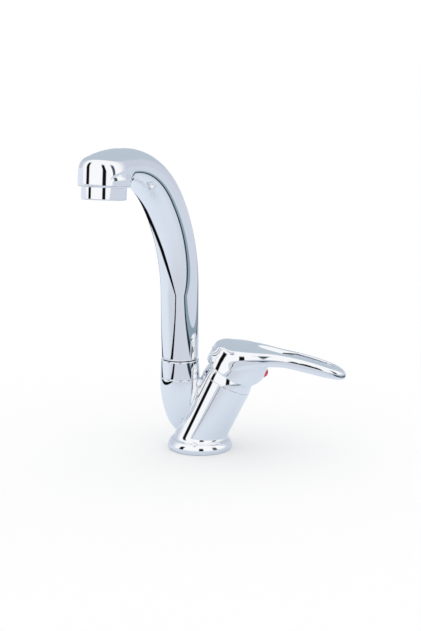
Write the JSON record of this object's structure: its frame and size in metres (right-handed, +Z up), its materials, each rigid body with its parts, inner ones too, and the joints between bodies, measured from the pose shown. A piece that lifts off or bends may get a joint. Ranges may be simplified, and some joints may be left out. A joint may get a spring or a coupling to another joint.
{
  "type": "bathroom sink faucet",
  "caption": "Deck-mounted basin mixer faucet with a leaning lever body, a looped lever handle and a tall curved swivel spout with an aerator.",
  "frame": {"origin": "centre of the foot on the deck surface", "axes": "+Z up from the deck, +X towards the lever, the spout column on the -X side, +Y completes the frame; the XZ plane halves the body and the lever"},
  "size_m": [0.2062, 0.1413, 0.2521],
  "materials": {
    "body_chrome": "bright chrome plate on brass, mirror smooth",
    "spout_chrome": "bright chrome plate on brass, mirror smooth",
    "lever_chrome": "bright chrome plate on die-cast zinc, mirror smooth",
    "aerator_chrome": "bright chrome plate on brass, mirror smooth",
    "index_red": "glossy moulded plastic",
    "index_blue": "glossy moulded plastic",
    "seal_rubber": "satin black rubber",
    "slide_plastic": "smooth white acetal",
    "cartridge_plastic": "moulded light grey plastic",
    "ceramic": "lapped white alumina",
    "plain_brass": "turned brass, unplated",
    "steel": "turned stainless steel",
    "insert_plastic": "moulded light grey plastic"
  },
  "bodies": {
    "base": {"body_casting": "body_chrome", "base_gasket": "seal_rubber", "collar": "body_chrome", "lower_slide_ring": "slide_plastic", "upper_slide_ring": "slide_plastic", "cartridge_base": "cartridge_plastic", "base_seals": "seal_rubber", "fixed_disc": "ceramic", "cartridge_housing": "cartridge_plastic", "retaining_nut": "plain_brass", "dome_ring": "body_chrome"},
    "spout_arm": {"spout": "spout_chrome", "spout_tail": "plain_brass", "tail_rings": "seal_rubber", "aerator_housing": "aerator_chrome", "aerator_insert": "insert_plastic", "aerator_screen": "steel", "aerator_washer": "seal_rubber"},
    "turner": {"turning_head": "cartridge_plastic", "spindle_pin": "steel"},
    "lever": {"handle": "lever_chrome", "spindle": "plain_brass", "set_screw": "steel", "index_hot": "index_red", "index_cold": "index_blue"},
    "slider": {"disc_carrier": "cartridge_plastic", "moving_disc": "ceramic"}
  },
  "joints": [
    {"name": "spout_swivel", "type": "hinge", "parent": "base", "child": "spout_arm", "pos_m": [-0.0165, 0, 0.06], "axis": [0, 0, 1], "continuous": true},
    {"name": "lever_turn", "type": "hinge", "parent": "base", "child": "turner", "pos_m": [0.02144, 0, 0.05515], "axis": [0.4337, 0, 0.9011], "range_deg": [-50, 50]},
    {"name": "lever_lift", "type": "hinge", "parent": "turner", "child": "lever", "pos_m": [0.02339, 0, 0.0592], "axis": [0, -1, 0], "range_deg": [0, 22]},
    {"name": "disc_slide", "type": "slide", "parent": "turner", "child": "slider", "axis": [0.9011, 0, -0.4337], "range_m": [0, 0.0052]}
  ],
  "couplings": [
    {"joint": "disc_slide", "follows": "lever_lift", "m_per_rad": 0.01346}
  ]
}
